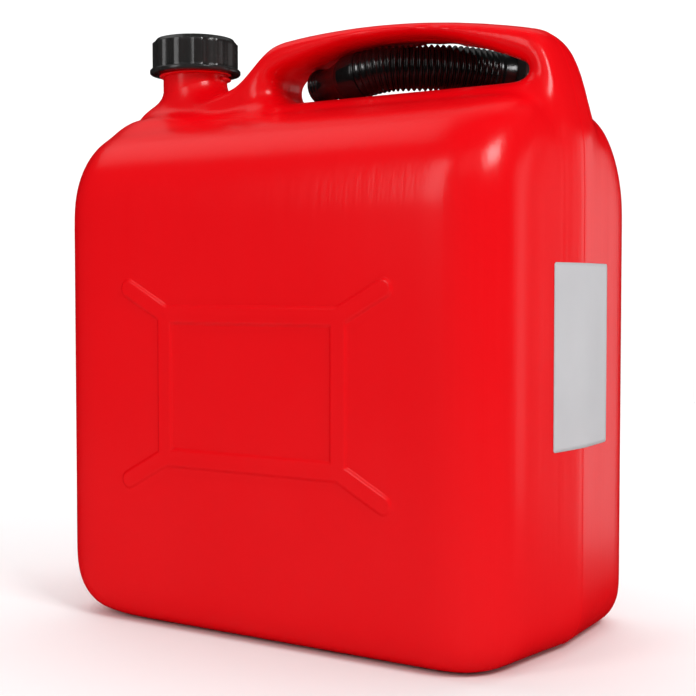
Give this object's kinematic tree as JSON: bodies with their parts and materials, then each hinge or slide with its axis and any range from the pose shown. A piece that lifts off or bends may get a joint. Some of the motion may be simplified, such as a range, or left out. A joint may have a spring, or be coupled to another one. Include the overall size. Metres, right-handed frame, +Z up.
{
  "type": "fuel can",
  "caption": "Blow-moulded plastic fuel can with a carrying handle, screw cap, blank label and a flexible ribbed pouring spout stowed in the handle opening.",
  "frame": {"origin": "middle of the can's footprint, on the ground", "axes": "+X along the front from the neck to the handle's end, +Y from the front to the back, +Z up"},
  "size_m": [0.3503, 0.2034, 0.3945],
  "materials": {
    "can": "soft gloss",
    "black_plastic": "satin",
    "spout_plastic": "satin",
    "seal": "matt",
    "label": "matt sticker"
  },
  "bodies": {
    "can": {"can_body": "can", "label": "label"},
    "cap_seal": {"cap_gasket": "seal"},
    "cap": {"screw_cap": "black_plastic"},
    "spout": {"spout_hose": "spout_plastic", "spout_gasket": "seal"},
    "nut": {"spout_nut": "black_plastic"}
  },
  "joints": [
    {"name": "cap_lift", "type": "slide", "parent": "can", "child": "cap_seal", "axis": [0, 0, 1], "range_m": [0, 0.01201]},
    {"name": "cap_turn", "type": "hinge", "parent": "cap_seal", "child": "cap", "pos_m": [-0.126, 0, 0.38], "axis": [0, 0, 1], "range_deg": [0, 1080]},
    {"name": "spout_pull", "type": "slide", "parent": "can", "child": "spout", "axis": [0, 1, 0], "range_m": [0, 0.12]},
    {"name": "nut_turn", "type": "hinge", "parent": "spout", "child": "nut", "pos_m": [0.0872, 0.04822, 0.35805], "axis": [0.5686, 0.8127, -0.1275], "continuous": true}
  ],
  "couplings": [
    {"joint": "cap_lift", "follows": "cap_turn", "m_per_rad": 0.00063662}
  ]
}
